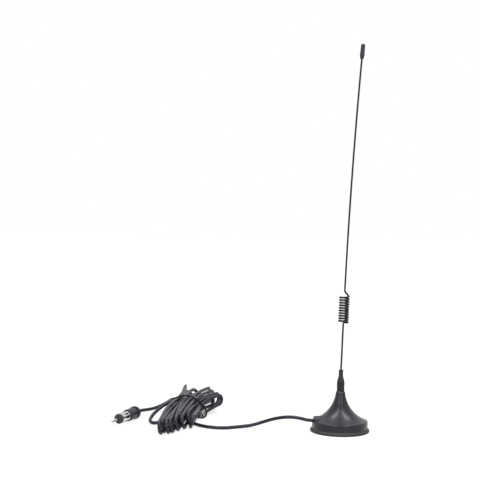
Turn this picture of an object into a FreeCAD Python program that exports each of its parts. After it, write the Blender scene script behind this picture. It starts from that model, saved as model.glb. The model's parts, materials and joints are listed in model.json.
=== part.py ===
"""Car antenna with a magnetic foot, a sprung whip with a wound coil, and a cable with an aerial plug.

Frame: +Z is up, the origin is the middle of the foot's underside, on the surface that it holds on to.
The hood, and the parts in line with it, point along hood_azimuth, measured from +X towards +Y.
"""
import FreeCAD, Part
import math
import os
import re

import Sketcher

V = FreeCAD.Vector

# Driving dimensions in millimetres and degrees.
SIZES = [
    ("slip", 0.1, "radial clearance between parts that fit together"),
    ("pad_lip", 1.6, "lip of the rubber pad, round the shell's wall"),
    ("pad_floor", 1.2, "rubber under the magnet"),
    ("pad_edge_height", 2.0, "upright edge of the lip"),
    ("pad_rim_height", 3.6, "top of the lip's slope, on the shell's wall"),
    ("pad_edge_round", 0.6, "rounding of the lip"),
    ("shell_diameter", 54.6, "upright wall of the shell"),
    ("shell_wall", 2.0, "thickness of the shell"),
    ("shell_height", 39.5, "top of the shell's neck, above the surface"),
    ("neck_diameter", 9.0, "top of the shell's neck"),
    ("neck_depth", 12.5, "solid neck, down to the hollow of the shell"),
    ("neck_chamfer", 0.5, "edge of the neck"),
    ("shoulder_rise", 3.32, "top of the shell's wall, above the pole cup"),
    ("flare_start", 4.0, "lean of the shell's hollow curve at the neck, in degrees"),
    ("shoulder_round", 1.2, "rounding between the curve and the wall"),
    ("hood_azimuth", 190.0, "direction of the cable hood, in degrees"),
    ("hood_wall", 1.9, "wall of the cable hood"),
    ("hood_inset", 1.3, "end of the hood, inside the line of the shell's wall"),
    ("cable_rise", 3.8, "axis of the hood, above the pole cup"),
    ("grommet_wall", 0.5, "wall of the sleeve in the hood"),
    ("grommet_length", 6.0, "sleeve in the hood"),
    ("magnet_gap", 1.0, "air between the ring magnet and the pole cup"),
    ("magnet_hole", 22.0, "hole of the magnet"),
    ("magnet_height", 5.0, "thickness of the magnet"),
    ("cup_wall", 1.2, "sheet of the pole cup"),
    ("cup_bend", 1.5, "outer bend of the cup"),
    ("stud_diameter", 4.0, "thread of the stud"),
    ("stud_chamfer", 0.5, "chamfer of the stud's ends"),
    ("collar_diameter", 6.4, "collar of the stud, let into the neck"),
    ("collar_height", 1.2, "height of that collar"),
    ("stud_rise", 7.0, "stud above the neck"),
    ("stud_tail", 1.0, "stud below its nut"),
    ("nut_width", 7.0, "stud nut, across its flats"),
    ("nut_height", 3.2, "height of the nut"),
    ("washer_diameter", 7.2, "lock washer"),
    ("washer_height", 0.6, "thickness of the lock washer"),
    ("washer_split", 0.6, "gap in the lock washer"),
    ("tag_diameter", 7.2, "ring of the solder tag"),
    ("tag_sheet", 0.5, "sheet of the solder tag"),
    ("tag_width", 2.4, "arm of the solder tag"),
    ("tag_clear", 0.6, "bent leg of the tag, from the nut's corners"),
    ("tag_leg", 6.0, "length of that leg"),
    ("clamp_place", 7.5, "braid clamp, from the axis"),
    ("clamp_width", 4.0, "width of the clamp's strip"),
    ("clamp_sheet", 0.8, "sheet of the clamp"),
    ("clamp_foot", 4.8, "width of each foot of the clamp, with its screw in the middle"),
    ("screw_diameter", 2.5, "thread of a clamp screw"),
    ("screw_head", 4.0, "head of a clamp screw"),
    ("screw_head_height", 1.3, "height of that head"),
    ("screw_slot", 0.6, "driver slot"),
    ("cable_diameter", 3.4, "jacket of the cable"),
    ("core_diameter", 1.2, "insulated core of the cable"),
    ("core_bend", 3.0, "bend of the core in the foot"),
    ("tail_end", 4.0, "stripped end of the cable, from the axis"),
    ("seal_diameter", 6.9, "washer under the ferrule"),
    ("seal_thickness", 0.5, "thickness of that washer"),
    ("ferrule_diameter", 7.5, "knurled body of the ferrule"),
    ("ferrule_body", 9.1, "height of that body"),
    ("ferrule_cone", 5.6, "cone above the body"),
    ("ferrule_neck", 4.3, "neck of the ferrule, across"),
    ("ferrule_height", 20.8, "whole ferrule"),
    ("bead_diameter", 4.7, "bead at the top of the neck"),
    ("bead_height", 1.3, "height of that bead"),
    ("bead_chamfer", 0.3, "chamfers of the bead"),
    ("socket_relief", 1.0, "room above the stud in the ferrule"),
    ("wire_seat", 10.0, "wire inside the ferrule"),
    ("wire_diameter", 1.8, "spring wire of the whip"),
    ("wire_lean", 1.4, "lean of the lower run and the coil, in degrees"),
    ("foot_bend", 40.0, "bend of the wire where it leaves the ferrule"),
    ("lower_run", 46.7, "wire between the ferrule and the coil"),
    ("coil_diameter", 10.6, "coil, over the wire"),
    ("coil_pitch", 2.555, "rise of a turn"),
    ("coil_turns", 10, "turns of the coil"),
    ("crank_rise", 4.9, "height of the crank above the coil"),
    ("crank_bend", 1.3, "bend of the wire at the coil's ends"),
    ("crank_sweep", 3.0, "bend of the wire at the top of the crank"),
    ("upper_lean", 1.75, "lean of the upper run at its foot, in degrees"),
    ("bow_radius", 5700.0, "bow of the upper run"),
    ("upper_run", 225.0, "wire between the crank and the cap"),
    ("tip_length", 15.0, "cap of the whip"),
    ("tip_diameter", 4.5, "widest part of the cap"),
    ("tip_top", 4.0, "upper end of the cap"),
    ("tip_taper", 3.0, "cone at the foot of the cap"),
    ("tip_lip", 0.4, "wall of the cap at its mouth"),
    ("tip_dome", 1.2, "height of the cap's domed end"),
    ("tip_seat", 10.0, "wire inside the cap"),
    ("plug_across", -202.8, "rear of the plug, along X"),
    ("plug_along", 45.8, "rear of the plug, along Y"),
    ("plug_heading", 64.0, "the plug points along -X, turned to -Y by this"),
    ("grip_wall", 1.05, "grip of the plug, round the metal sleeve"),
    ("collar_step", 0.5, "collar of the grip, above the grip"),
    ("collar_start", 2.2, "rear rounding of the grip"),
    ("collar_end", 5.2, "front edge of the collar"),
    ("groove_depth", 0.3, "groove in front of the collar"),
    ("groove_width", 1.2, "width of that groove"),
    ("grip_rear", 7.0, "rear face of the grip, across"),
    ("grip_length", 18.0, "grip of the plug"),
    ("grip_chamfer", 0.6, "front edge of the grip"),
    ("sleeve_diameter", 9.5, "metal sleeve of the plug"),
    ("sleeve_wall", 0.5, "sheet of the sleeve"),
    ("sleeve_bulge", 0.3, "bulge of the sleeve between its ends"),
    ("sleeve_length", 14.8, "sleeve in front of the grip"),
    ("sleeve_seat", 8.5, "sleeve inside the grip"),
    ("sleeve_band", 2.2, "plain band at the sleeve's front"),
    ("slot_count", 8, "slots of the sleeve"),
    ("slot_length", 9.6, "slot of the sleeve"),
    ("slot_width", 1.7, "widest part of a slot"),
    ("disc_thickness", 2.4, "front disc of the insulator, on the sleeve's edge"),
    ("disc_lap", 0.15, "edge of that disc, outside the sleeve's edge"),
    ("disc_round", 0.4, "rounding of the disc"),
    ("bush_flange", 2.2, "flange of the insulator, inside the sleeve's band"),
    ("bush_core", 5.6, "core of the insulator, across"),
    ("bush_heel", 3.5, "rear flange of the insulator"),
    ("pin_diameter", 3.1, "centre pin in front of the insulator"),
    ("pin_shank", 2.6, "centre pin inside the insulator"),
    ("pin_reach", 12.0, "pin in front of the insulator"),
    ("pin_inset", 1.0, "pin in front of the insulator's rear face"),
    ("pin_root", 3.0, "socket for the core in the pin's rear end"),
    ("pin_round", 0.7, "rounded end of the pin"),
    ("pin_bore", 1.5, "bore in the pin's end"),
    ("pin_slit", 0.6, "slit across the pin's end"),
    ("pin_slit_depth", 6.0, "depth of that slit and bore"),
    ("crimp_flange", 1.5, "flange of the crimp collar, in the sleeve"),
    ("crimp_diameter", 4.8, "barrel of the crimp collar"),
    ("crimp_length", 6.0, "length of that barrel"),
]

# Route of the cable to the hank, from the hood and from the plug, after a straight stub out of each.
BASE_STUB, PLUG_STUB = 6.0, 8.0
BASE_ROUTE = [
    (-38.0, -5.9, 13.1), (-49.0, -3.0, 14.0), (-61.0, 3.4, 11.4), (-73.5, 10.6, 6.3), (-86.0, 9.5, 2.2),
    (-100.0, 2.6, 1.9), (-114.0, -4.2, 1.8), (-128.0, -1.2, 1.9), (-140.0, 9.0, 1.8), (-149.0, 25.0, 2.4),
]
PLUG_ROUTE = [(-188.5, 66.5, 5.6), (-180.5, 79.0, 6.5), (-167.0, 97.0, 8.0), (-150.0, 106.0, 10.0)]

# Cross-sections of the hank from its front to its back: Y, middle X and Z, half width and half height.
# The tie lies round its waist.
WAIST = (62.0, -149.0, 11.5, 16.5, 8.6)
HANK_SECTIONS = [
    (-37.0, -171.0, 11.8, 8.0, 7.5),
    (-26.0, -168.5, 11.9, 12.5, 11.0),
    (-8.0, -164.0, 12.0, 19.0, 11.7),
    (8.0, -163.5, 12.0, 22.0, 11.7),
    (30.0, -159.0, 12.0, 18.5, 11.0),
    WAIST,
    (90.0, -140.0, 12.0, 19.0, 10.8),
    (108.0, -135.5, 12.4, 19.5, 11.4),
    (121.0, -134.0, 12.6, 9.5, 8.0),
]
# Share of a run that the bend at each of its ends may take up, and the shortest run that is drawn.
BEND_SHARE, SHORTEST_RUN = 0.45, 1e-6
TIE_GAP, TIE_SHEET, TIE_WIDTH = 0.7, 0.7, 2.6
TIE_END_WIDTH, TIE_END_HEIGHT = 3.6, 12.0
# The tie's twisted end: sideways from the waist's middle, and below the top of the band.
TIE_END_SIDE, TIE_END_SINK = -5.2, 1.2

doc = FreeCAD.newDocument("car_antenna")
sheet = doc.addObject("Spreadsheet::Sheet", "Sizes")
for row, (alias, size, note) in enumerate(SIZES, start=1):
    sheet.set(f"A{row}", note)
    sheet.set(f"B{row}", str(size))
    sheet.setAlias(f"B{row}", alias)
doc.recompute()
names = {alias for alias, size, note in SIZES}
nodes = []


def number(expression):
    """The value of an expression of the sheet's sizes."""
    found = sheet.evalExpression(expression)
    return float(getattr(found, "Value", found))


def bound(expression):
    """The expression as another object of the document reads it."""
    return re.sub(r"[a-z]\w*", lambda word: f"Sizes.{word[0]}" if word[0] in names else word[0], expression)


def bind(target, **expressions):
    """Tie properties of an object to expressions of the sheet's sizes."""
    for name, expression in expressions.items():
        target.setExpression(name.replace("__", "."), bound(expression))


def place(target, across="0", along="0", up="0", turn="0", pitch="0"):
    """Tie an object's place to expressions: a point, a turn about Z and a pitch about its own Y."""
    target.setExpression("Placement", bound(
        f"placement(vector({across}; {along}; {up}); rotation({turn}; {pitch}; 0))"))


def keep(target, label):
    """Name a finished sub-part."""
    target.Label = label
    nodes.append(target)
    return target


def new_body(label):
    return keep(doc.addObject("PartDesign::Body", label), label)


def new_sketch(body, role, offset="0"):
    """A sketch on one of the body's origin planes, moved along the plane's normal."""
    plane = next(feature for feature in body.Origin.OriginFeatures if feature.Role == role)
    sketch = body.newObject("Sketcher::SketchObject", f"{body.Name}_sketch")
    sketch.AttachmentSupport = (plane, [""])
    sketch.MapMode = "FlatFace"
    sketch.setExpression("AttachmentOffset.Base.z", bound(offset))
    return sketch


def fix(sketch, kind, *where, size):
    """A dimension of a sketch, tied to an expression."""
    index = sketch.addConstraint(Sketcher.Constraint(kind, *where, number(size)))
    sketch.setExpression(f"Constraints[{index}]", bound(size))


def hold(sketch, edge, vertex, across, up):
    """Hold a sketch's point at a place given by two expressions."""
    for kind, coordinate, axis in (("DistanceX", across, -2), ("DistanceY", up, -1)):
        if coordinate == "0":
            sketch.addConstraint(Sketcher.Constraint("PointOnObject", edge, vertex, axis))
        else:
            fix(sketch, kind, -1, 1, edge, vertex, size=coordinate)


def circle(sketch, diameter, across="0", up="0"):
    centre = V(number(across), number(up), 0)
    edge = sketch.addGeometry(Part.Circle(centre, V(0, 0, 1), number(diameter) / 2), False)
    hold(sketch, edge, 3, across, up)
    fix(sketch, "Diameter", edge, size=diameter)


def arc_between(start, end, radius, turn):
    """Arc of a sketch: turn is 1 where it runs anticlockwise from start to end, and -1 where it doesn't."""
    chord = end - start
    left = V(-chord.y, chord.x, 0).normalize()
    rise = math.sqrt(max(radius ** 2 - (chord.Length / 2) ** 2, 0))
    centre = (start + end) * 0.5 + left * rise * turn
    first, last = (start, end) if turn > 0 else (end, start)
    angles = [math.atan2(point.y - centre.y, point.x - centre.x) for point in (first, last)]
    return Part.ArcOfCircle(Part.Circle(centre, V(0, 0, 1), radius), *angles)


def outline(sketch, corners, arcs=None, closed=True):
    """Lines and arcs through corners, each a pair of expressions.

    arcs gives, for the edge after a corner, its turn and radius; a half circle has its centre's height too.
    """
    arcs = arcs or {}
    points = [V(number(across), number(up), 0) for across, up in corners]
    count = len(corners) if closed else len(corners) - 1
    ends = []
    for index in range(count):
        start, end = points[index], points[(index + 1) % len(points)]
        if index in arcs:
            turn, radius = arcs[index][:2]
            shape, order = arc_between(start, end, number(radius), turn), (1, 2)[::turn]
        else:
            shape, order = Part.LineSegment(start, end), (1, 2)
        ends.append((sketch.addGeometry(shape, False), *order))
    for index, (edge, first, last) in enumerate(ends):
        hold(sketch, edge, first, *corners[index])
        if index + 1 < count or closed:
            follower = ends[(index + 1) % count]
            sketch.addConstraint(Sketcher.Constraint("Coincident", edge, last, follower[0], follower[1]))
        else:
            hold(sketch, edge, last, *corners[-1])
        if index in arcs and len(arcs[index]) == 3:
            fix(sketch, "DistanceY", -1, 1, edge, 3, size=arcs[index][2])
        elif index in arcs:
            fix(sketch, "Radius", edge, size=arcs[index][1])


def turned(body, corners, arcs=None, cut=False):
    """A profile in the body's XZ plane, turned about its Z axis, as a solid or as a cut."""
    sketch = new_sketch(body, "XZ_Plane")
    outline(sketch, corners, arcs)
    kind = "Groove" if cut else "Revolution"
    feature = body.newObject(f"PartDesign::{kind}", f"{body.Name}_{kind}")
    feature.Profile = sketch
    feature.ReferenceAxis = (sketch, ["V_Axis"])
    feature.Angle = 360
    doc.recompute()
    return feature


def padded(body, sketch, length, symmetric=False):
    feature = body.newObject("PartDesign::Pad", f"{body.Name}_pad")
    feature.Profile = sketch
    feature.SideType = "Symmetric" if symmetric else "One side"
    bind(feature, Length=length)
    doc.recompute()
    return feature


def pocketed(body, sketch, length=None, symmetric=False, reverse=False):
    """A cut from the sketch's plane, right through where no length is given."""
    before = body.Shape.Volume
    feature = body.newObject("PartDesign::Pocket", f"{body.Name}_pocket")
    feature.Profile = sketch
    feature.SideType = "Symmetric" if symmetric else "One side"
    feature.Reversed = reverse
    if length is None:
        feature.Type = "ThroughAll"
    else:
        bind(feature, Length=length)
    doc.recompute()
    assert feature.Shape.Volume < before, f"{body.Label}: the pocket cuts nothing"
    return feature


def ring(label, outer, inner, height, up="0"):
    """A flat ring round the Z axis."""
    body = new_body(label)
    sketch = new_sketch(body, "XY_Plane", offset=up)
    circle(sketch, outer)
    circle(sketch, inner)
    padded(body, sketch, height)
    return body


def solid(label, kind, **expressions):
    """A primitive, tied to the sheet; its name says what it belongs to."""
    target = doc.addObject(f"Part::{kind}", label)
    bind(target, **expressions)
    return target


def cut(label, base, tool):
    target = doc.addObject("Part::Cut", label)
    target.Base, target.Tool = base, tool
    return target


def fused(label, *shapes):
    target = doc.addObject("Part::MultiFuse", label)
    target.Shapes = list(shapes)
    return target


def tangent_path(points, radii):
    """Edges of a path of straight runs joined by tangent arcs, one radius for each inner point."""
    edges = []
    start = points[0]
    for before, point, after, radius in zip(points, points[1:], points[2:], radii):
        back, ahead = (before - point).normalize(), (after - point).normalize()
        half = (math.pi - back.getAngle(ahead)) / 2
        reach = radius * math.tan(half)
        inward = (back + ahead).normalize()
        arrive, leave = point + back * reach, point + ahead * reach
        middle = point + inward * (radius / math.cos(half) - radius)
        if (arrive - start).Length > SHORTEST_RUN:
            edges.append(Part.LineSegment(start, arrive).toShape())
        edges.append(Part.Arc(arrive, middle, leave).toShape())
        start = leave
    if (points[-1] - start).Length > SHORTEST_RUN:
        edges.append(Part.LineSegment(start, points[-1]).toShape())
    return edges


def cord_radii(points):
    """The largest arc that each inner point's two runs allow, less a tenth."""
    radii = []
    for before, point, after in zip(points, points[1:], points[2:]):
        half = (math.pi - (before - point).getAngle(after - point)) / 2
        shorter = min((before - point).Length, (after - point).Length)
        radii.append(BEND_SHARE * shorter / math.tan(half))
    return radii


def round_bar(edges, diameter):
    """A round bar along a tangent path."""
    wire = Part.Wire(edges)
    first = wire.OrderedEdges[0]
    section = Part.makeCircle(diameter / 2, first.valueAt(first.FirstParameter),
                              first.tangentAt(first.FirstParameter))
    bar = wire.makePipe(Part.Face(Part.Wire([section])))
    expected = math.pi * diameter ** 2 / 4 * wire.Length
    assert abs(bar.Volume / expected - 1) < 1e-3, "the bar's volume is not its section times its length"
    return bar


def plain(label, shape):
    """An object that holds a finished shape."""
    target = doc.addObject("Part::Feature", label)
    target.Shape = shape
    target.Placement = FreeCAD.Placement()
    return target


# Heights and radii that several parts share.
PAD_SEAT = "(shell_diameter / 2 + slip)"
SHELL_INSIDE = "(shell_diameter / 2 - shell_wall)"
CEILING = "(shell_height - neck_depth)"
CUP_TOP = "(pad_floor + magnet_height + cup_wall)"
CUP_RADIUS = f"({SHELL_INSIDE} - slip)"
CUP_INSIDE = f"({CUP_RADIUS} - cup_wall)"
COLLAR_FOOT = "(shell_height - collar_height)"
TAG_TOP = f"({CEILING} - washer_height)"
NUT_TOP = f"({TAG_TOP} - tag_sheet)"
NUT_FOOT = f"({NUT_TOP} - nut_height)"
FERRULE_FOOT = "(shell_height + seal_thickness)"
FERRULE_TOP = f"({FERRULE_FOOT} + ferrule_height)"
CABLE_HEIGHT = f"({CUP_TOP} + cable_rise)"
GROMMET_BORE = "(cable_diameter + 2 * slip)"
GROMMET_ACROSS = f"({GROMMET_BORE} + 2 * grommet_wall)"
HOOD_BORE = f"({GROMMET_ACROSS} + 2 * slip)"
HOOD_REACH = "(shell_diameter / 2 - hood_inset)"
CLAMP_OUTSIDE = "(cable_diameter / 2 + slip + clamp_sheet)"
SCREW_SIDES = [f"({sign}({CLAMP_OUTSIDE} + clamp_foot / 2))" for sign in ("", "-")]
SCREW_HOLE = "(screw_diameter + 2 * slip)"
TAG_REACH = "(nut_width / sqrt(3) + tag_clear + tag_sheet)"

# The shell's hollow curve: an arc from the neck, with its lean there, to the top of the wall.
SHOULDER = f"({CUP_TOP} + shoulder_rise)"
FLARE_WIDTH = "((shell_diameter - neck_diameter) / 2)"
FLARE_DROP = f"(shell_height - {SHOULDER})"
FLARE_RADIUS = (f"(({FLARE_WIDTH}^2 + {FLARE_DROP}^2)"
                f" / (2 * ({FLARE_WIDTH} * cos(flare_start) - {FLARE_DROP} * sin(flare_start))))")
FLARE_ACROSS = f"(neck_diameter / 2 + {FLARE_RADIUS} * cos(flare_start))"
FLARE_UP = f"(shell_height + {FLARE_RADIUS} * sin(flare_start))"


def base_pad():
    lip = f"({PAD_SEAT} + pad_lip)"
    body = new_body("base_pad")
    turned(body, [
        ("0", "0"), (f"{lip} - pad_edge_round", "0"), (lip, "pad_edge_round"), (lip, "pad_edge_height"),
        (PAD_SEAT, "pad_rim_height"), (PAD_SEAT, "pad_floor"), ("0", "pad_floor")],
        arcs={1: (1, "pad_edge_round")})


def base_shell():
    """Trumpet-shaped shell: a turned form, the cable hood, the hollow inside and the hood's bore."""
    wall, neck = "shell_diameter / 2", "neck_diameter / 2"
    round_across = f"({wall} - shoulder_round)"
    reach = f"({FLARE_RADIUS} + shoulder_round)"
    round_up = f"({FLARE_UP} - sqrt({reach}^2 - ({FLARE_ACROSS} - {round_across})^2))"
    share = f"({FLARE_RADIUS} / {reach})"
    neck_edge = "(shell_height - neck_chamfer)"
    body = new_body("base_shell")
    turned(body, [
        ("0", "pad_floor"), (wall, "pad_floor"), (wall, round_up),
        (f"{FLARE_ACROSS} + ({round_across} - {FLARE_ACROSS}) * {share}",
         f"{FLARE_UP} + ({round_up} - {FLARE_UP}) * {share}"),
        (f"{FLARE_ACROSS} - sqrt({FLARE_RADIUS}^2 - ({FLARE_UP} - {neck_edge})^2)", neck_edge),
        (f"{neck} - neck_chamfer", "shell_height"), ("0", "shell_height")],
        arcs={2: (1, "shoulder_round"), 3: (-1, FLARE_RADIUS)})
    hood = hood_sketch(body)
    circle(hood, f"{HOOD_BORE} + 2 * hood_wall", up=CABLE_HEIGHT)
    padded(body, hood, HOOD_REACH)
    inner_flare = f"({FLARE_RADIUS} + shell_wall)"
    wall_top = f"({FLARE_UP} - sqrt({inner_flare}^2 - ({FLARE_ACROSS} - {SHELL_INSIDE})^2))"
    ceiling_edge = f"({FLARE_ACROSS} - sqrt({inner_flare}^2 - ({FLARE_UP} - {CEILING})^2))"
    turned(body, [
        ("0", "pad_floor"), (SHELL_INSIDE, "pad_floor"), (SHELL_INSIDE, wall_top), (ceiling_edge, CEILING),
        ("stud_diameter / 2 + slip", CEILING), ("stud_diameter / 2 + slip", COLLAR_FOOT),
        ("collar_diameter / 2 + slip", COLLAR_FOOT), ("collar_diameter / 2 + slip", "shell_height"),
        ("0", "shell_height")], arcs={2: (-1, inner_flare)}, cut=True)
    bore = hood_sketch(body)
    circle(bore, HOOD_BORE, up=CABLE_HEIGHT)
    pocketed(body, bore, "shell_diameter", reverse=True)


def hood_sketch(body):
    """A sketch on the upright plane through the axis that the hood stands square to."""
    sketch = new_sketch(body, "YZ_Plane")
    sketch.AttachmentOffset = FreeCAD.Placement(V(), FreeCAD.Rotation(V(0, 1, 0), number("hood_azimuth")))
    sketch.setExpression("AttachmentOffset.Rotation.Angle", bound("hood_azimuth"))
    return sketch


def pole_cup():
    body = new_body("pole_cup")
    roof = f"({CUP_TOP} - cup_wall)"
    turned(body, [
        ("0", roof), (CUP_INSIDE, roof), (CUP_INSIDE, "pad_floor"), (CUP_RADIUS, "pad_floor"),
        (CUP_RADIUS, f"{CUP_TOP} - cup_bend"), (f"{CUP_RADIUS} - cup_bend", CUP_TOP), ("0", CUP_TOP)],
        arcs={4: (1, "cup_bend")})
    holes = new_sketch(body, "XY_Plane")
    for side in SCREW_SIDES:
        circle(holes, SCREW_HOLE, "clamp_place", side)
    pocketed(body, holes, reverse=True)
    place(body, turn="hood_azimuth")


def neck_fittings():
    """The stud through the neck, and the lock washer, solder tag and nut under the shell's ceiling."""
    stud_foot = f"({NUT_FOOT} - stud_tail)"
    stud_top = "(shell_height + stud_rise)"
    radius, narrow = "stud_diameter / 2", "stud_diameter / 2 - stud_chamfer"
    collar = "collar_diameter / 2"
    stud = new_body("contact_stud")
    turned(stud, [
        ("0", stud_foot), (narrow, stud_foot), (radius, f"{stud_foot} + stud_chamfer"),
        (radius, COLLAR_FOOT), (collar, COLLAR_FOOT), (collar, "shell_height"), (radius, "shell_height"),
        (radius, f"{stud_top} - stud_chamfer"), (narrow, stud_top), ("0", stud_top)])

    bore = "stud_diameter + 2 * slip"
    washer = ring("lock_washer", "washer_diameter", bore, "washer_height", up=TAG_TOP)
    split = new_sketch(washer, "XY_Plane", offset=CEILING)
    half, reach = "washer_split / 2", "washer_diameter"
    outline(split, [("0", f"-{half}"), (reach, f"-{half}"), (reach, half), ("0", half)])
    pocketed(washer, split)

    nut = new_body("stud_nut")
    hexagon = new_sketch(nut, "XY_Plane", offset=NUT_FOOT)
    outline(hexagon, [(f"nut_width / sqrt(3) * cos({angle})", f"nut_width / sqrt(3) * sin({angle})")
                      for angle in range(15, 375, 60)])
    circle(hexagon, bore)
    padded(nut, hexagon, "nut_height")


def core_tag():
    """Solder tag: a ring on the stud, an arm away from the hood and a leg bent down."""
    eye = solid("tag_ring", "Cylinder", Radius="tag_diameter / 2", Height="tag_sheet",
                Placement__Base__z=NUT_TOP)
    arm = solid("tag_arm", "Box", Length=TAG_REACH, Width="tag_width", Height="tag_sheet",
                Placement__Base__x=f"-{TAG_REACH}", Placement__Base__y="-tag_width / 2",
                Placement__Base__z=NUT_TOP)
    leg = solid("tag_drop", "Box", Length="tag_sheet", Width="tag_width", Height="tag_leg",
                Placement__Base__x=f"-{TAG_REACH}", Placement__Base__y="-tag_width / 2",
                Placement__Base__z=f"{TAG_TOP} - tag_leg")
    hole = solid("tag_hole", "Cylinder", Radius="stud_diameter / 2 + slip", Height="tag_sheet",
                 Placement__Base__z=NUT_TOP)
    tag = keep(cut("core_tag", fused("tag_sheet_metal", eye, arm, leg), hole), "core_tag")
    place(tag, turn="hood_azimuth")
    doc.recompute()


def braid_clamp():
    """Saddle over the cable's end with two screwed feet."""
    inner, outer = "(cable_diameter / 2 + slip)", CLAMP_OUTSIDE
    foot_end, foot_top = f"({outer} + clamp_foot)", f"({CUP_TOP} + clamp_sheet)"
    body = new_body("braid_clamp")
    strip = new_sketch(body, "YZ_Plane", offset="clamp_place")
    outline(strip, [
        (foot_end, CUP_TOP), (foot_end, foot_top), (outer, foot_top), (outer, CABLE_HEIGHT),
        (f"-{outer}", CABLE_HEIGHT), (f"-{outer}", foot_top), (f"-{foot_end}", foot_top),
        (f"-{foot_end}", CUP_TOP), (f"-{inner}", CUP_TOP), (f"-{inner}", CABLE_HEIGHT),
        (inner, CABLE_HEIGHT), (inner, CUP_TOP)],
        arcs={3: (1, outer, CABLE_HEIGHT), 9: (-1, inner, CABLE_HEIGHT)})
    padded(body, strip, "clamp_width", symmetric=True)
    holes = new_sketch(body, "XY_Plane")
    for side in SCREW_SIDES:
        circle(holes, SCREW_HOLE, "clamp_place", side)
    pocketed(body, holes, reverse=True)
    place(body, turn="hood_azimuth")

    screws = []
    screw_end = "-(clamp_sheet + cup_wall)"
    for name, side in zip(("near_screw", "far_screw"), SCREW_SIDES):
        screw = doc.addObject("PartDesign::Body", name)
        turned(screw, [
            ("0", screw_end), ("screw_diameter / 2", screw_end), ("screw_diameter / 2", "0"),
            ("screw_head / 2", "0"), ("screw_head / 2", "screw_head_height"), ("0", "screw_head_height")])
        slot = new_sketch(screw, "XY_Plane", offset="screw_head_height")
        half, reach = "screw_slot / 2", "screw_head / 2"
        outline(slot, [(f"-{reach}", f"-{half}"), (reach, f"-{half}"), (reach, half), (f"-{reach}", half)])
        pocketed(screw, slot, "screw_head_height / 2")
        place(screw, f"clamp_place * cos(hood_azimuth) - {side} * sin(hood_azimuth)",
              f"clamp_place * sin(hood_azimuth) + {side} * cos(hood_azimuth)", foot_top,
              turn="hood_azimuth")
        screws.append(screw)
    pair = doc.addObject("Part::Compound", "clamp_screws")
    pair.Links = screws
    keep(pair, "clamp_screws")


def foot_cable():
    """The cable's end in the foot, its sleeve in the hood and the core up to the solder tag."""
    grommet = new_body("cable_grommet")
    sleeve = new_sketch(grommet, "YZ_Plane", offset=f"{HOOD_REACH} - grommet_length")
    circle(sleeve, GROMMET_ACROSS, up=CABLE_HEIGHT)
    circle(sleeve, GROMMET_BORE, up=CABLE_HEIGHT)
    padded(grommet, sleeve, "grommet_length")
    place(grommet, turn="hood_azimuth")

    tail = new_body("cable_tail")
    jacket = new_sketch(tail, "YZ_Plane", offset="tail_end")
    circle(jacket, "cable_diameter", up=CABLE_HEIGHT)
    padded(tail, jacket, f"{HOOD_REACH} - tail_end")
    place(tail, turn="hood_azimuth")

    leg = f"-({TAG_REACH} - tag_sheet / 2)"
    leg_foot = f"({TAG_TOP} - tag_leg)"
    lead = new_body("core_lead")
    path = new_sketch(lead, "XZ_Plane")
    outline(path, [
        ("tail_end", CABLE_HEIGHT), (f"{leg} + core_bend", CABLE_HEIGHT),
        (leg, f"{CABLE_HEIGHT} + core_bend"), (leg, leg_foot)],
        arcs={1: (-1, "core_bend")}, closed=False)
    section = new_sketch(lead, "YZ_Plane", offset="tail_end")
    circle(section, "core_diameter", up=CABLE_HEIGHT)
    pipe = lead.newObject("PartDesign::AdditivePipe", "core_lead_pipe")
    pipe.Profile = section
    pipe.Spine = (path, ["Edge1", "Edge2", "Edge3"])
    place(lead, turn="hood_azimuth")
    doc.recompute()


def whip_ferrule():
    """Turned ferrule with the stud's socket below and the wire's bore above."""
    ring("seal_washer", "seal_diameter", "stud_diameter + 2 * slip", "seal_thickness", up="shell_height")
    socket, wire = "stud_diameter / 2 + slip", "wire_diameter / 2 + slip"
    socket_top = "(shell_height + stud_rise + socket_relief)"
    body_top = f"({FERRULE_FOOT} + ferrule_body)"
    cone_top = f"({body_top} + ferrule_cone)"
    bead_foot = f"({FERRULE_TOP} - bead_height)"
    wire_foot = f"({FERRULE_TOP} - wire_seat)"
    body = new_body("whip_ferrule")
    outside, neck, bead = "ferrule_diameter / 2", "ferrule_neck / 2", "bead_diameter / 2"
    turned(body, [
        ("0", socket_top), (socket, socket_top), (socket, FERRULE_FOOT), (outside, FERRULE_FOOT),
        (outside, body_top), (neck, cone_top), (neck, bead_foot), (bead, f"{bead_foot} + bead_chamfer"),
        (bead, f"{FERRULE_TOP} - bead_chamfer"), (f"{bead} - bead_chamfer", FERRULE_TOP),
        (wire, FERRULE_TOP), (wire, wire_foot), ("0", wire_foot)])


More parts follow.
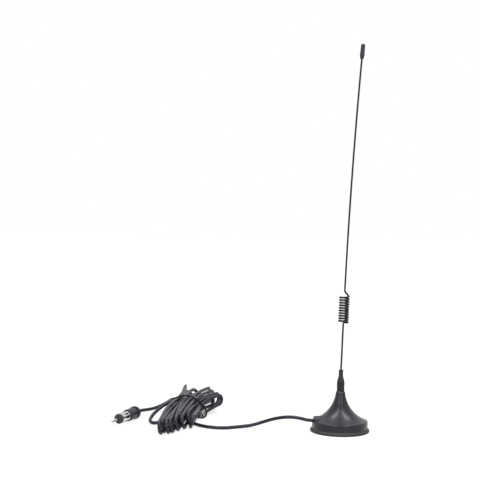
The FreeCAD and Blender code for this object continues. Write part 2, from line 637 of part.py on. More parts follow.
def whip():
    """The spring wire, from the ferrule to the cap, and the cap on its end.

    Each half turn of the coil is an arc that rises by half the pitch, level at both its ends, so that the
    arcs join smoothly. The coil rises anticlockwise seen from above, and both its ends lie towards +X.
    """
    top = V(0, 0, number(FERRULE_TOP))
    lean = math.radians(number("wire_lean"))
    across, away = V(math.cos(lean), 0, -math.sin(lean)), V(0, 1, 0)
    up = V(math.sin(lean), 0, math.cos(lean))

    def at(right, back, height):
        return top + across * right + away * back + up * height

    radius = number("(coil_diameter - wire_diameter) / 2")
    pitch, bend, turns = number("coil_pitch"), number("crank_bend"), round(number("coil_turns"))
    start = number("lower_run")
    end = start + pitch * turns
    rise = number("crank_rise")
    lead_in = bend / math.sqrt(1 - 2 * bend / radius)
    lead_out = bend / math.sqrt(1 - 2 * bend / math.hypot(radius, rise))
    upper = math.radians(number("upper_lean"))
    heading = V(math.sin(upper), 0, math.cos(upper))
    crank_top = at(0, 0, end + rise)
    sweep = number("crank_sweep")

    edges = tangent_path(
        [top - V(0, 0, number("wire_seat")), top, at(0, 0, start), at(radius, -lead_in, start),
         at(radius, 0, start)],
        [number("foot_bend"), bend, bend])
    for half in range(2 * turns):
        side = 1 if half % 2 == 0 else -1
        low, high = start + pitch * half / 2, start + pitch * (half + 1) / 2
        reach = math.hypot(radius, pitch / 4)
        edges.append(Part.Arc(at(side * radius, 0, low), at(0, side * reach, (low + high) / 2),
                              at(-side * radius, 0, high)).toShape())
    bow_start = crank_top + heading * sweep
    edges += tangent_path([at(radius, 0, end), at(radius, lead_out, end), crank_top, bow_start],
                          [bend, sweep])

    bow = number("bow_radius")
    centre = bow_start + V(math.cos(upper), 0, -math.sin(upper)) * bow

    def on_bow(length):
        angle = upper + length / bow
        return centre + V(-math.cos(angle), 0, math.sin(angle)) * bow

    cap_foot = number("upper_run") - sweep
    wire_end = cap_foot + number("tip_seat")
    edges.append(Part.Arc(bow_start, on_bow(wire_end / 2), on_bow(wire_end)).toShape())
    keep(plain("whip_wire", round_bar(edges, number("wire_diameter"))), "whip_wire")

    mouth = "(wire_diameter / 2 + slip)"
    dome_radius = "(((tip_top / 2)^2 + tip_dome^2) / (2 * tip_dome))"
    cap = new_body("tip_cap")
    turned(cap, [
        (mouth, "0"), (f"{mouth} + tip_lip", "0"), ("tip_diameter / 2", "tip_taper"),
        ("tip_top / 2", "tip_length - tip_dome"), ("0", "tip_length"), ("0", "tip_seat + slip"),
        (mouth, "tip_seat + slip")],
        arcs={3: (1, dome_radius)})
    cap_lean = math.degrees(upper + cap_foot / bow)
    cap.Placement = FreeCAD.Placement(on_bow(cap_foot), FreeCAD.Rotation(V(0, 1, 0), cap_lean))
    doc.recompute()


# The plug's own frame: +Z forward along its axis, with the rear face of the grip at zero.
GRIP_FRONT = "(sleeve_diameter / 2 + slip + grip_wall)"
GRIP_COLLAR = f"({GRIP_FRONT} + collar_step)"
PLUG_TILT = "atan(collar_step / (grip_length - grip_chamfer - collar_start))"
SLEEVE_REAR = "(grip_length - sleeve_seat)"
SLEEVE_FRONT = "(grip_length + sleeve_length)"
SLEEVE_INSIDE = "(sleeve_diameter / 2 - sleeve_wall)"
BUSH_REAR = f"({SLEEVE_REAR} + crimp_flange)"
BUSH_FRONT = f"({SLEEVE_FRONT} + disc_thickness)"
CRIMP_REAR = f"({SLEEVE_REAR} - crimp_length)"
PIN_REAR = f"({BUSH_REAR} + pin_inset)"


def lay(body):
    """Lay a part of the plug on the surface, where its collar and its front edge touch it."""
    rear = f"({GRIP_COLLAR} * cos({PLUG_TILT}) + collar_start * sin({PLUG_TILT}))"
    place(body, "plug_across", "plug_along", rear, turn="plug_heading + 180", pitch=f"90 deg + {PLUG_TILT}")
    doc.recompute()


def plug_body():
    """Moulded grip with a rounded rear, a collar and a groove, stepped inside for what it holds."""
    groove_end = "(collar_end + groove_width)"
    sleeve = "(sleeve_diameter / 2 + slip)"
    crimp = "(crimp_diameter / 2 + slip)"
    cable = "(cable_diameter / 2 + slip)"
    groove = f"({GRIP_FRONT} - groove_depth)"
    rear_step = f"({GRIP_COLLAR} - grip_rear / 2)"
    rear_round = f"(({rear_step}^2 + collar_start^2) / (2 * {rear_step}))"
    body = new_body("plug_body")
    turned(body, [
        (cable, "0"), ("grip_rear / 2", "0"), (GRIP_COLLAR, "collar_start"), (GRIP_COLLAR, "collar_end"),
        (groove, "collar_end"), (groove, groove_end), (GRIP_FRONT, groove_end),
        (GRIP_FRONT, "grip_length - grip_chamfer"), (f"{GRIP_FRONT} - grip_chamfer", "grip_length"),
        (sleeve, "grip_length"), (sleeve, SLEEVE_REAR), (crimp, SLEEVE_REAR), (crimp, CRIMP_REAR),
        (cable, CRIMP_REAR)], arcs={1: (1, rear_round)})
    lay(body)


def plug_sleeve():
    """Metal sleeve, bulged in front of the grip and slotted so that it springs."""
    half_bulge = "((sleeve_length - sleeve_band) / 2)"
    bulge_radius = f"(({half_bulge}^2 + sleeve_bulge^2) / (2 * sleeve_bulge))"
    outside = "sleeve_diameter / 2"
    bulge_end = f"({SLEEVE_FRONT} - sleeve_band)"
    body = new_body("plug_sleeve")
    turned(body, [
        (outside, SLEEVE_REAR), (outside, "grip_length"), (outside, bulge_end), (outside, SLEEVE_FRONT),
        (SLEEVE_INSIDE, SLEEVE_FRONT), (SLEEVE_INSIDE, bulge_end), (SLEEVE_INSIDE, "grip_length"),
        (SLEEVE_INSIDE, SLEEVE_REAR)], arcs={1: (1, bulge_radius), 5: (-1, bulge_radius)})
    slot = new_sketch(body, "XZ_Plane")
    middle = f"((grip_length + {bulge_end}) / 2)"
    slot_radius = "((slot_length^2 + slot_width^2) / (4 * slot_width))"
    outline(slot, [("0", f"{middle} - slot_length / 2"), ("0", f"{middle} + slot_length / 2")],
            arcs={0: (1, slot_radius), 1: (1, slot_radius)})
    pocket = pocketed(body, slot)
    pattern = body.newObject("PartDesign::PolarPattern", "plug_sleeve_slots")
    pattern.Originals = [pocket]
    pattern.Axis = (slot, ["V_Axis"])
    pattern.Angle = 360
    bind(pattern, Occurrences="slot_count")
    body.Tip = pattern
    lay(body)


def plug_insides():
    """The insulator, the pin, the crimp collar and the end of the cable."""
    fit = f"({SLEEVE_INSIDE} - slip)"
    pin = "(pin_shank / 2 + slip)"
    disc = "(sleeve_diameter / 2 + disc_lap)"
    bush = new_body("plug_insulator")
    turned(bush, [
        (pin, BUSH_REAR), (fit, BUSH_REAR), (fit, f"{BUSH_REAR} + bush_heel"),
        ("bush_core / 2", f"{BUSH_REAR} + bush_heel"), ("bush_core / 2", f"{SLEEVE_FRONT} - bush_flange"),
        (fit, f"{SLEEVE_FRONT} - bush_flange"), (fit, SLEEVE_FRONT), (disc, SLEEVE_FRONT),
        (disc, f"{BUSH_FRONT} - disc_round"), (f"{disc} - disc_round", BUSH_FRONT), (pin, BUSH_FRONT)],
        arcs={8: (1, "disc_round")})
    lay(bush)

    tip = f"({BUSH_FRONT} + pin_reach)"
    contact = new_body("plug_pin")
    slit_foot = f"({tip} - pin_slit_depth)"
    root = "core_diameter / 2 + slip"
    root_end = f"({PIN_REAR} + pin_root)"
    turned(contact, [
        (root, PIN_REAR), ("pin_shank / 2", PIN_REAR), ("pin_shank / 2", BUSH_FRONT),
        ("pin_diameter / 2", BUSH_FRONT), ("pin_diameter / 2", f"{tip} - pin_round"),
        ("pin_diameter / 2 - pin_round", tip), ("pin_bore / 2", tip), ("pin_bore / 2", slit_foot),
        ("0", slit_foot), ("0", root_end), (root, root_end)], arcs={4: (1, "pin_round")})
    slit = new_sketch(contact, "XZ_Plane")
    half = "pin_slit / 2"
    outline(slit, [(f"-{half}", slit_foot), (half, slit_foot), (half, tip), (f"-{half}", tip)])
    pocketed(contact, slit, symmetric=True)
    lay(contact)

    crimp = new_body("crimp_collar")
    bore = "(cable_diameter / 2 + slip)"
    turned(crimp, [
        (bore, CRIMP_REAR), ("crimp_diameter / 2", CRIMP_REAR), ("crimp_diameter / 2", SLEEVE_REAR),
        (fit, SLEEVE_REAR), (fit, BUSH_REAR), (bore, BUSH_REAR)])
    lay(crimp)

    jacket = new_body("plug_cable_end")
    cable = "cable_diameter / 2"
    turned(jacket, [("0", "0"), (cable, "0"), (cable, BUSH_REAR), ("0", BUSH_REAR)])
    lay(jacket)
    core = new_body("plug_core")
    strand = "core_diameter / 2"
    turned(core, [("0", BUSH_REAR), (strand, BUSH_REAR), (strand, root_end), ("0", root_end)])
    lay(core)


def cable_hank():
    """The outer shape of the folded cable, and the tie round its waist."""
    sections = []
    for index, (along, across, up, half_width, half_height) in enumerate(HANK_SECTIONS):
        ellipse = doc.addObject("Part::Ellipse", f"hank_section_{index}")
        ellipse.MajorRadius, ellipse.MinorRadius = half_width, half_height
        ellipse.Placement = FreeCAD.Placement(V(across, along, up), FreeCAD.Rotation(V(1, 0, 0), 90))
        sections.append(ellipse)
    hank = doc.addObject("Part::Loft", "cable_hank")
    hank.Sections = sections
    hank.Solid = True
    hank.Ruled = True
    doc.recompute()
    keep(hank, "cable_hank")

    along, across, up, half_width, half_height = WAIST
    bands = []
    for name, grow in (("tie_outside", TIE_GAP + TIE_SHEET), ("tie_inside", TIE_GAP)):
        ellipse = doc.addObject("Part::Ellipse", f"{name}_line")
        ellipse.MajorRadius, ellipse.MinorRadius = half_width + grow, half_height + grow
        ellipse.Placement = FreeCAD.Placement(V(across, along, up), FreeCAD.Rotation(V(1, 0, 0), 90))
        band = doc.addObject("Part::Extrusion", name)
        band.Base = ellipse
        band.DirMode = "Custom"
        band.Dir = V(0, 1, 0)
        band.LengthFwd, band.LengthRev = TIE_WIDTH / 2, TIE_WIDTH / 2
        band.Solid = True
        bands.append(band)
    end = doc.addObject("Part::Box", "tie_end")
    end.Length, end.Width, end.Height = TIE_END_WIDTH, TIE_SHEET, TIE_END_HEIGHT
    end.Placement.Base = V(across + TIE_END_SIDE - TIE_END_WIDTH / 2, along - TIE_SHEET / 2,
                           up + half_height + TIE_GAP + TIE_SHEET - TIE_END_SINK)
    doc.recompute()
    keep(fused("twist_tie", cut("tie_band", *bands), end), "twist_tie")
    doc.recompute()
    return hank


def cable_runs(hank):
    """The free cable on both sides of the hank, cut where it enters the hank's outer shape."""
    azimuth = math.radians(number("hood_azimuth"))
    outward = V(math.cos(azimuth), math.sin(azimuth), 0)
    hood_end = outward * number(HOOD_REACH) + V(0, 0, number(CABLE_HEIGHT))
    plug = doc.getObject("plug_body").Placement
    plug_axis = plug.Rotation.multVec(V(0, 0, -1))
    for label, start, stub, route in (
            ("base_cable_run", hood_end, outward * BASE_STUB, BASE_ROUTE),
            ("plug_cable_run", plug.Base, plug_axis * PLUG_STUB, PLUG_ROUTE)):
        points = [start, start + stub] + [V(*point) for point in route]
        radii = cord_radii(points)
        print(label, "bend radii", [round(radius, 1) for radius in radii])
        whole = plain(f"{label}_whole", round_bar(tangent_path(points, radii), number("cable_diameter")))
        keep(cut(label, whole, hank), label)
    doc.recompute()


def write():
    """Check every object, then write each sub-part to its own file."""
    doc.recompute()
    failed = [item.Name for item in doc.Objects if {"Invalid", "Error"} & set(item.State)]
    assert not failed, f"failed objects: {failed}"
    for node in nodes:
        assert not node.Shape.isNull() and node.Shape.isValid(), f"{node.Label} has no valid shape"
    os.makedirs("parts", exist_ok=True)
    for node in nodes:
        node.Shape.exportStep(f"parts/{node.Label}.step")
        print(node.Label, len(node.Shape.Solids), round(node.Shape.Volume, 1))


base_pad()
base_shell()
pole_cup()
ring("ring_magnet", f"2 * ({CUP_INSIDE} - magnet_gap)", "magnet_hole", "magnet_height", up="pad_floor")
neck_fittings()
core_tag()
braid_clamp()
foot_cable()
whip_ferrule()
whip()
plug_body()
plug_sleeve()
plug_insides()
cable_runs(cable_hank())
write()
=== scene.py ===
"""Looks of the car antenna: its cable and tie, the knurled ferrule, materials, floor, lights and camera."""
import json
import math

import bpy
from mathutils import Matrix, Vector


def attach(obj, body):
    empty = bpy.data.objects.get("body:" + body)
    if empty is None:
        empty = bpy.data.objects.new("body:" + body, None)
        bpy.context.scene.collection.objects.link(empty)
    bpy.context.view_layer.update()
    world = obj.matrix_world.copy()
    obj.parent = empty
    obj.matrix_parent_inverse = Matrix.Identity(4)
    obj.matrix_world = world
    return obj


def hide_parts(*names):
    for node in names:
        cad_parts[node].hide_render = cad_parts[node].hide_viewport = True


MM = 0.001

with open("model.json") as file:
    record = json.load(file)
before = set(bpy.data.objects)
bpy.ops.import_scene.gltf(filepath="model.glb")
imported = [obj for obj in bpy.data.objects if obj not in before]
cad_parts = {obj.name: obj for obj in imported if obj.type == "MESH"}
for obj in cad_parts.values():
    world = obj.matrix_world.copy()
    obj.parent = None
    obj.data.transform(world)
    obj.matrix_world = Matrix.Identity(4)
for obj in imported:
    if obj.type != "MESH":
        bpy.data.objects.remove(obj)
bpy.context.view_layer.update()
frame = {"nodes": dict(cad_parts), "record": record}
nodes = frame["nodes"]


def mesh_object(name, places, faces):
    data = bpy.data.meshes.new(name)
    data.from_pydata(places, [], faces)
    return bpy.data.objects.new(name, data)


# Materials

# Each noise has its scale per metre and its detail. The range is where most of its values lie.
MOTTLE_NOISE = (140.0, 4.0)
GLOSS_NOISE = (420.0, 3.0)
GRAIN_NOISE = (900.0, 2.0)
NOISE_RANGE = (0.3, 0.7)
GLOSS_SPREAD = 0.12
BLUISH = (0.84, 0.86, 1.0)
FAINTLY_BLUISH = (0.94, 0.95, 1.0)
WHITE = (1, 1, 1, 1)
LOOKS = {
    "pad_rubber": dict(colour=(0.015, 0.015, 0.017), rough=0.6),
    "shell_plastic": dict(
        colour=(0.013, 0.013, 0.018), rough=0.29, gloss=0.37, dent=0.000004, sheen=FAINTLY_BLUISH),
    "plated_steel": dict(colour=(0.5, 0.5, 0.52), rough=0.35, metal=1.0),
    "ferrite": dict(colour=(0.04, 0.04, 0.045), rough=0.7),
    "brass": dict(colour=(0.62, 0.44, 0.17), rough=0.3, metal=1.0),
    "tinned_brass": dict(colour=(0.6, 0.59, 0.56), rough=0.38, metal=1.0),
    "cable_jacket": dict(colour=(0.01, 0.01, 0.016), rough=0.34, gloss=0.38, dent=0.000006, sheen=BLUISH),
    "core_insulation": dict(colour=(0.75, 0.75, 0.72), rough=0.4),
    "ferrule_metal": dict(colour=(0.02, 0.02, 0.022), rough=0.34, metal=0.25, gloss=0.35, dent=0.000006),
    "whip_metal": dict(colour=(0.008, 0.008, 0.009), rough=0.38, gloss=0.25),
    "tip_plastic": dict(colour=(0.011, 0.011, 0.015), rough=0.45, sheen=BLUISH),
    "grip_plastic": dict(colour=(0.011, 0.011, 0.017), rough=0.4, sheen=BLUISH),
    "plug_chrome": dict(colour=(0.62, 0.62, 0.63), rough=0.16, metal=1.0, mottle=0.05),
    "bush_plastic": dict(colour=(0.032, 0.032, 0.034), rough=0.5),
    "tie_plastic": dict(colour=(0.005, 0.005, 0.006), rough=0.6, gloss=0.12),
    "tie_end": dict(colour=(0.26, 0.26, 0.27), rough=0.5),
    "tie_film": dict(colour=(0.42, 0.42, 0.43), rough=0.12),
    "paper": dict(colour=(0.35, 0.35, 0.35), rough=0.9, mottle=0.01, gloss=0.1),
}


def map_range(tree, source, start, end, low, high):
    """The source with its values from start to end turned into values from low to high."""
    node = tree.nodes.new("ShaderNodeMapRange")
    node.inputs["From Min"].default_value = start
    node.inputs["From Max"].default_value = end
    node.inputs["To Min"].default_value = low
    node.inputs["To Max"].default_value = high
    tree.links.new(source, node.inputs["Value"])
    return node.outputs["Result"]


def surface(name, colour, rough, metal=0.0, mottle=0.12, dent=0.00002, gloss=0.5, sheen=(1, 1, 1)):
    """A finish with a faint mottle in its colour, an uneven gloss and a fine grain.

    The dent is the depth of the grain in metres, and the sheen the colour of what a plastic mirrors.
    """
    material = bpy.data.materials.new(name)
    material.use_nodes = True
    tree = material.node_tree
    shader = tree.nodes["Principled BSDF"]
    shader.inputs["Metallic"].default_value = metal
    shader.inputs["Specular IOR Level"].default_value = gloss
    shader.inputs["Specular Tint"].default_value = (*sheen, 1)
    place = tree.nodes.new("ShaderNodeTexCoord")

    def noise(scale, detail):
        node = tree.nodes.new("ShaderNodeTexNoise")
        node.inputs["Scale"].default_value = scale
        node.inputs["Detail"].default_value = detail
        tree.links.new(place.outputs["Object"], node.inputs["Vector"])
        return node.outputs["Fac"]

    tint = tree.nodes.new("ShaderNodeVectorMath")
    tint.operation = "SCALE"
    tint.inputs[0].default_value = colour
    shade = map_range(tree, noise(*MOTTLE_NOISE), *NOISE_RANGE, 1 - mottle, 1 + mottle)
    tree.links.new(shade, tint.inputs["Scale"])
    tree.links.new(tint.outputs["Vector"], shader.inputs["Base Color"])
    smoothest = rough * (1 - GLOSS_SPREAD)
    roughest = rough * (1 + GLOSS_SPREAD)
    uneven = map_range(tree, noise(*GLOSS_NOISE), *NOISE_RANGE, smoothest, roughest)
    tree.links.new(uneven, shader.inputs["Roughness"])
    bump = tree.nodes.new("ShaderNodeBump")
    bump.inputs["Distance"].default_value = dent
    tree.links.new(noise(*GRAIN_NOISE), bump.inputs["Height"])
    tree.links.new(bump.outputs["Normal"], shader.inputs["Normal"])
    return material


finishes = {name: surface(name, **look) for name, look in LOOKS.items()}


def finish(piece, name):
    piece.data.materials.clear()
    piece.data.materials.append(finishes[name])


for part in frame["record"]["subparts"]:
    finish(nodes[part["node"]], part["material_slot"])


def add(piece, slot, *replaced):
    """A piece of the object, in the row frame, in place of those CAD nodes."""
    bpy.context.scene.collection.objects.link(piece)
    finish(piece, slot)
    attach(piece, "root")
    if replaced:
        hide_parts(*replaced)
    return piece


# Cable: out of the hood, along the floor, through the turns of the hank and into the plug, in millimetres

CABLE_DIAMETER = 3.4
HOOD_EXIT = (-25.605, -4.515, 11.2)
BASE_ROUTE = [
    HOOD_EXIT, (-31.514, -5.557, 11.2), (-38, -5.9, 13.1), (-49, -3, 14), (-61, 3.4, 11.4),
    (-73.5, 10.6, 6.3), (-86, 9.5, 2.2), (-100, 2.6, 1.9), (-114, -4.2, 1.8), (-128, -1.2, 1.9),
    (-140, 9, 1.8), (-149, 25, 2.4),
]
WAIST = Vector((-149, 62, 0))
FIRST_PLACE = (13.4, 2.6)
# One row for each turn of the hank. A fold: X, Y and Z of its tip, radius, tilt of its plane in degrees.
# A place in the waist: X from its middle, and Z. The bow moves the upper strand sideways and up.
TURNS = [
    # fold at the back, place above, fold at the front, place below, bow
    ((-117.1, 86, 13.2, 4.8, 92), (9.6, 11.0), (-145.4, -6, 6.6, 5.8, 78), (10.0, 6.0), (2.4, 1.0)),
    ((-125.8, 82, 12.4, 4.6, 92), (6.2, 12.0), (-148.8, 6, 6.6, 5.8, 104), (6.5, 5.4), (0.6, 2.0)),
    ((-120.4, 100, 12.1, 5.5, 95), (2.4, 13.4), (-152.6, 16, 9.4, 4.8, 100), (4.6, 8.8), (-0.4, 0.0)),
    ((-126.5, 108, 13.4, 5.4, 95), (4.4, 16.9), (-153.9, -10, 6.6, 5.8, 103), (3.0, 4.3), (0.6, 1.8)),
    ((-130.7, 118, 15.0, 5.0, 95), (0.6, 18.4), (-156.8, -3, 9.4, 5.0, 100), (-0.4, 8.0), (-0.4, 1.0)),
    ((-143.4, 106, 17.0, 4.6, 45), (-5.0, 18.6), (-159.5, -20, 6.6, 5.8, 103), (-0.5, 4.3), (-0.4, 1.2)),
    ((-136.0, 96, 10.0, 8.0, 80), (-7.2, 15.2), (-164.6, -29, 6.6, 5.8, 103), (-4.0, 4.5), (-1.0, 1.6)),
    ((-140.6, 93, 10.0, 8.0, 78), (-8.2, 11.8), (-168.2, -33, 6.6, 5.8, 102), (-4.0, 8.4), (-2.4, 0.4)),
    ((-145.2, 89, 9.8, 8.0, 78), (-10.4, 14.4), (-172.0, -31, 6.8, 5.8, 97), (-7.5, 5.4), (-1.8, 1.6)),
    ((-149.5, 98, 16.4, 4.6, 45), (-11.6, 18.2), (-174.9, -37, 6.6, 5.8, 96), (-11.0, 7.2), (-3.0, 1.8)),
]
LAST_BACK = (-151.5, 90, 9.0, 6.6, 78)
# The front folds dip by so many degrees. The upper strand is arched at this share of its way to the back.
FRONT_DIP = 10
BACK_ARCH = Vector((-1.6, 0, 0.9))
BACK_ARCH_AT = 0.6
MIDWAY = 0.5
# The loose loop at the left, the strand that leaves the hank, and the run to the plug.
SIDE_LOOP = [
    (-163, 62, 15.8), (-167.4, 54, 16.4), (-174, 46, 14.4), (-179.4, 40, 11.4), (-184, 34, 7.8),
    (-186.9, 26.5, 4.6), (-187.4, 19, 2.6), (-183.6, 12.6, 2), (-177.4, 13.4, 2.8), (-172.6, 20, 4.4),
    (-168.6, 32, 6.8), (-164.2, 47, 9.4), (-160.5, 62, 10.8),
]
LEAVING = [
    (-159.5, 74, 10.4), (-156.6, 86, 9.8), (-155.6, 97, 9.4), (-158.4, 106, 9), (-164.6, 110.2, 8.8),
    (-170.4, 107, 8.4),
]
PLUG_ROUTE = [
    (-173.2, 96.5, 7.7), (-180.5, 79, 6.5), (-188.5, 66.5, 5.6), (-199.295, 52.987, 6.732),
    (-202.8, 45.8, 6.469),
]
# A fold's four middle points are corners of an eight-sided ring round its circle, counted in half sides.
HALF_SIDE = math.radians(22.5)
FOLD_CORNERS = (-3, -1, 1, 3)
SPLINE_ORDER = 3
SPLINE_STEPS = 8
RING_DETAIL = 6


def fold(tip_x, tip_y, tip_z, radius, tilt, root, dip=0):
    """Points round a half turn with that outermost point, from the lower strand to the upper one."""
    level = Vector((tip_x - root.x, tip_y - root.y, 0)).normalized()
    across = Vector((-level.y, level.x, 0))
    lean = Matrix.Rotation(math.radians(dip), 3, across)
    heading = lean @ level
    upward = lean @ Vector((0, 0, 1))
    side = across * math.cos(math.radians(tilt)) + upward * math.sin(math.radians(tilt))
    centre = Vector((tip_x, tip_y, tip_z)) - heading * radius
    turn = []
    for corner in FOLD_CORNERS:
        outward = heading * math.cos(HALF_SIDE * corner) + side * math.sin(HALF_SIDE * corner)
        turn.append(centre + outward * radius / math.cos(HALF_SIDE))
    run = heading * 2 * radius * math.tan(HALF_SIDE)
    return [turn[0] - run] + turn + [turn[-1] - run]


def waist_place(across, up):
    return WAIST + Vector((across, 0, up))


def hank_points():
    """Control points of the hank: seventeen for each turn, then the last fold and the loose loop.

    A turn has six points round each fold, one at each place in the waist and three along its strands.
    The strand above is arched behind the waist and bowed in front of it.
    """
    below = waist_place(*FIRST_PLACE)
    points = [below]
    for back, upper, front, lower, (bow, lift) in TURNS:
        above = waist_place(*upper)
        turn = fold(*back, below.lerp(above, MIDWAY))
        points += turn
        points += [above.lerp(turn[-1], BACK_ARCH_AT) + BACK_ARCH, above]
        below = waist_place(*lower)
        turn = fold(*front, above.lerp(below, MIDWAY), FRONT_DIP)
        points += [above.lerp(turn[-1], MIDWAY) + Vector((bow, 0, lift))]
        points += reversed(turn)
        points += [below.lerp(turn[0], MIDWAY), below]
    return points + fold(*LAST_BACK, below.lerp(Vector(SIDE_LOOP[0]), MIDWAY)) + SIDE_LOOP


def tube(name, points, diameter, closed=False):
    """A round cord or wire along a smooth spline with those control points, in millimetres."""
    data = bpy.data.curves.new(name, "CURVE")
    data.dimensions = "3D"
    spline = data.splines.new("NURBS")
    spline.points.add(len(points) - 1)
    for target, point in zip(spline.points, points):
        target.co = (*(Vector(point) * MM), 1)
    spline.order_u = SPLINE_ORDER
    spline.use_endpoint_u = not closed
    spline.use_cyclic_u = closed
    spline.resolution_u = SPLINE_STEPS
    data.bevel_depth = diameter / 2 * MM
    data.bevel_resolution = RING_DETAIL
    data.use_fill_caps = True
    return bpy.data.objects.new(name, data)


route = BASE_ROUTE + hank_points() + LEAVING + PLUG_ROUTE
cable = tube("antenna_cable", route, CABLE_DIAMETER)
add(cable, "cable_jacket", "base_cable_run", "cable_hank", "plug_cable_run")

# Tie: a wire round the waist, its flat end standing up and its film crumpled in the slack, in millimetres

TIE_WIRE_DIAMETER = 1.4
TIE_LOOP = [
    (-166, 58, 18.6), (-159.2, 58, 21.3), (-153.1, 58, 22), (-148, 58, 21.2), (-142.9, 57.5, 19),
    (-138.3, 57, 15), (-133.6, 56, 9.4), (-131.4, 54, 5.2), (-132.4, 49, 2.2), (-136, 47, 1.1),
    (-142, 49, 1), (-150, 55, 1), (-160, 60, 1.2), (-167.4, 60, 6), (-168.6, 59, 13),
]
# Edges of the sheets, from the bottom up: height, left edge, right edge.
END_EDGES = [
    (21.1, -157, -152.8), (24.2, -157.8, -152.6), (27.3, -157.4, -152.9), (30.4, -156.2, -152.4),
    (32.9, -154.5, -152.2),
]
END_DEPTH = 59
END_CRUMPLE = 0.3
END_THICKNESS = 0.3
FILM_EDGES = [
    (1.4, -140.9, -133.8), (2.9, -141.3, -132.6), (4.4, -141.5, -132.2), (5.9, -141.5, -132.2),
    (7.4, -141.2, -132.7),
]
FILM_DEPTH = 50.5
FILM_CRUMPLE = 0.9
FILM_THICKNESS = 0.2
# The crumple is two waves that cross: share, radians for each column and radians for each row.
CRUMPLE_WAVES = [(1.0, 1.7, 1.1), (0.5, 0.9, -2.3)]
SHEET_COLUMNS = 9


def sheet(name, edges, depth, crumple, thickness):
    """A thin closed sheet between those edges, crumpled to and fro about its depth."""
    columns = SHEET_COLUMNS
    places = []
    for layer in (-thickness / 2, thickness / 2):
        for row, (height, left, right) in enumerate(edges):
            for column in range(columns):
                across = left + (right - left) * (column / (columns - 1))
                wave = sum(share * math.sin(along * column + up * row) for share, along, up in CRUMPLE_WAVES)
                places.append(Vector((across, depth + crumple * wave + layer, height)) * MM)
    back = len(edges) * columns
    faces = []
    for row in range(len(edges) - 1):
        for column in range(columns - 1):
            here = row * columns + column
            above = here + columns
            faces.append((here, here + 1, above + 1, above))
            faces.append((back + here, back + above, back + above + 1, back + here + 1))
    rim = list(range(columns))
    rim += [row * columns + columns - 1 for row in range(1, len(edges))]
    rim += list(range(back - 2, back - columns - 1, -1))
    rim += [row * columns for row in range(len(edges) - 2, 0, -1)]
    faces += [(a, a + back, b + back, b) for a, b in zip(rim, rim[1:] + rim[:1])]
    return mesh_object(name, places, faces)


tie_wire = add(tube("tie_wire", TIE_LOOP, TIE_WIRE_DIAMETER, closed=True), "tie_plastic", "twist_tie")
tie_end = add(sheet("tie_end", END_EDGES, END_DEPTH, END_CRUMPLE, END_THICKNESS), "tie_plastic")
tie_film = add(sheet("tie_film", FILM_EDGES, FILM_DEPTH, FILM_CRUMPLE, FILM_THICKNESS), "tie_plastic")
finish(tie_end, "tie_end")
finish(tie_film, "tie_film")

# Ferrule: its knurled body, cone, neck and bead, in millimetres

FERRULE_FOOT = 40.0
BODY_TOP = 49.1
CONE_TOP = 54.7
BEAD_FOOT = 59.5
FERRULE_TOP = 60.8
BODY_RADIUS = 3.75
NECK_RADIUS = 2.15
BEAD_RADIUS = 2.35
BEAD_CHAMFER = 0.3
KNURL_DEPTH = 0.3
KNURL_TEETH = 22
KNURL_ROWS = 44
SIDES_PER_TOOTH = 8


def knurl(angle, height):
    """Radius of the knurled body: raised diamonds between two sets of slanted grooves."""
    slant = height / BODY_RADIUS
    crossing = math.sin(KNURL_TEETH / 2 * (angle + slant)) * math.sin(KNURL_TEETH / 2 * (angle - slant))
    return BODY_RADIUS - KNURL_DEPTH * (1 - math.sqrt(abs(crossing)))


def knurled_ferrule(name):
    """Rings from the foot up, the knurled ones first, each given by its height and its plain radius."""
    sides = KNURL_TEETH * SIDES_PER_TOOTH
    step = (BODY_TOP - FERRULE_FOOT) / KNURL_ROWS
    rings = [(FERRULE_FOOT + step * row, None) for row in range(KNURL_ROWS + 1)]
    rings += [
        (CONE_TOP, NECK_RADIUS), (BEAD_FOOT, NECK_RADIUS), (BEAD_FOOT + BEAD_CHAMFER, BEAD_RADIUS),
        (FERRULE_TOP - BEAD_CHAMFER, BEAD_RADIUS), (FERRULE_TOP, BEAD_RADIUS - BEAD_CHAMFER),
    ]
    places = []
    for height, plain in rings:
        for side in range(sides):
            angle = 2 * math.pi * side / sides
            radius = plain or knurl(angle, height)
            places.append(Vector((radius * math.cos(angle), radius * math.sin(angle), height)) * MM)
    faces = [tuple(reversed(range(sides))), tuple(range(len(places) - sides, len(places)))]
    for ring in range(len(rings) - 1):
        for side in range(sides):
            here = ring * sides + side
            beside = ring * sides + (side + 1) % sides
            faces.append((here, beside, beside + sides, here + sides))
    return mesh_object(name, places, faces)


add(knurled_ferrule("knurled_ferrule"), "ferrule_metal", "whip_ferrule")

# Floor, lights and camera, in metres

WORLD_COLOUR = (0.9, 0.93, 1.0, 1)
WORLD_STRENGTH = 0.12
FLOOR_CORNERS = [(-4, -2.5, 0), (4, -2.5, 0), (4, 2.5, 0), (-4, 2.5, 0)]
# The floor glows more and more from the near to the far distance from the foot.
NEAR = 0.3
FAR = 1.6
NEAR_GLOW = 0.72
FAR_GLOW = 0.98
FRONT_LIGHT = dict(aim=(0, 0, 0.05), width=0.14, height=0.8, power=3)
TOP_LIGHT = dict(aim=(0, -0.05, 0.03), width=0.9, height=0.14, power=5)
SKY_STRENGTH = 0.6
SKY_ANGLE = math.radians(70)
CAMERA_PLACE = (-0.100986, -1.451755, 0.30063)
CAMERA_TILT = math.radians(90 - 4.5065)
CAMERA_ROLL = math.radians(1.0152)
LENS = 112.5
SENSOR_WIDTH = 36


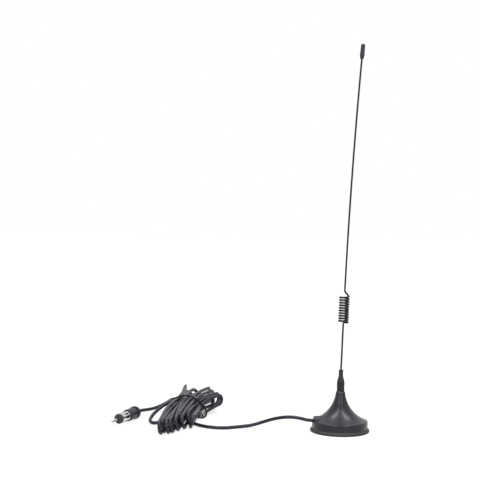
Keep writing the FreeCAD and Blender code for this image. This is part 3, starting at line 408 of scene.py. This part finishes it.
def seen_or_mirrored(tree):
    """One for what the camera sees, in a mirror or through glass too, and nought for light on the object."""
    path = tree.nodes.new("ShaderNodeLightPath")
    seen = path.outputs["Is Camera Ray"]
    for kind in ("Is Glossy Ray", "Is Transmission Ray"):
        either = tree.nodes.new("ShaderNodeMath")
        either.operation = "MAXIMUM"
        tree.links.new(seen, either.inputs[0])
        tree.links.new(path.outputs[kind], either.inputs[1])
        seen = either.outputs["Value"]
    return seen


def white_world():
    """White behind the object, and plain soft light on it."""
    world = bpy.data.worlds.new("studio")
    bpy.context.scene.world = world
    world.use_nodes = True
    tree = world.node_tree
    plain = tree.nodes["Background"]
    plain.inputs["Color"].default_value = WORLD_COLOUR
    plain.inputs["Strength"].default_value = WORLD_STRENGTH
    seen = tree.nodes.new("ShaderNodeBackground")
    seen.inputs["Color"].default_value = WHITE
    mix = tree.nodes.new("ShaderNodeMixShader")
    tree.links.new(seen_or_mirrored(tree), mix.inputs["Fac"])
    tree.links.new(plain.outputs["Background"], mix.inputs[1])
    tree.links.new(seen.outputs["Background"], mix.inputs[2])
    tree.links.new(mix.outputs["Shader"], tree.nodes["World Output"].inputs["Surface"])


def pale_floor():
    floor = mesh_object("floor", FLOOR_CORNERS, [(0, 1, 2, 3)])
    bpy.context.scene.collection.objects.link(floor)
    finish(floor, "paper")
    tree = finishes["paper"].node_tree
    shader = tree.nodes["Principled BSDF"]
    shader.inputs["Emission Color"].default_value = WHITE
    glow = tree.nodes.new("ShaderNodeMath")
    glow.operation = "MULTIPLY"
    tree.links.new(seen_or_mirrored(tree), glow.inputs[0])
    place = tree.nodes.new("ShaderNodeTexCoord")
    away = tree.nodes.new("ShaderNodeVectorMath")
    away.operation = "LENGTH"
    tree.links.new(place.outputs["Object"], away.inputs[0])
    fade = map_range(tree, away.outputs["Value"], NEAR, FAR, NEAR_GLOW, FAR_GLOW)
    tree.links.new(fade, glow.inputs[1])
    tree.links.new(glow.outputs["Value"], shader.inputs["Emission Strength"])


def soft_light(name, place, aim, width, height, power):
    data = bpy.data.lights.new(name, "AREA")
    data.shape = "RECTANGLE"
    data.size = width
    data.size_y = height
    data.energy = power
    light = bpy.data.objects.new(name, data)
    bpy.context.scene.collection.objects.link(light)
    light.location = place
    light.rotation_euler = (Vector(aim) - Vector(place)).to_track_quat("-Z", "Y").to_euler()


def sky_light():
    """Wide, soft light from straight above."""
    data = bpy.data.lights.new("sky_box", "SUN")
    data.energy = SKY_STRENGTH
    data.angle = SKY_ANGLE
    bpy.context.scene.collection.objects.link(bpy.data.objects.new("sky_box", data))


def photo_camera():
    """The camera, placed to match the photo."""
    data = bpy.data.cameras.new("camera")
    data.lens = LENS
    data.sensor_width = SENSOR_WIDTH
    camera = bpy.data.objects.new("camera", data)
    bpy.context.scene.collection.objects.link(camera)
    tilt = Matrix.Rotation(CAMERA_TILT, 4, "X")
    roll = Matrix.Rotation(CAMERA_ROLL, 4, "Z")
    camera.matrix_world = Matrix.Translation(CAMERA_PLACE) @ tilt @ roll
    bpy.context.scene.camera = camera


white_world()
pale_floor()
soft_light("left_front", (-0.47, -1.05, 0.42), **FRONT_LIGHT)
soft_light("right_front", (0.45, -1.05, 0.42), **FRONT_LIGHT)
soft_light("left_top", (-0.36, -0.12, 1.05), **TOP_LIGHT)
soft_light("right_top", (0.36, -0.12, 1.05), **TOP_LIGHT)
sky_light()
photo_camera()
bpy.context.scene.view_settings.view_transform = "Standard"
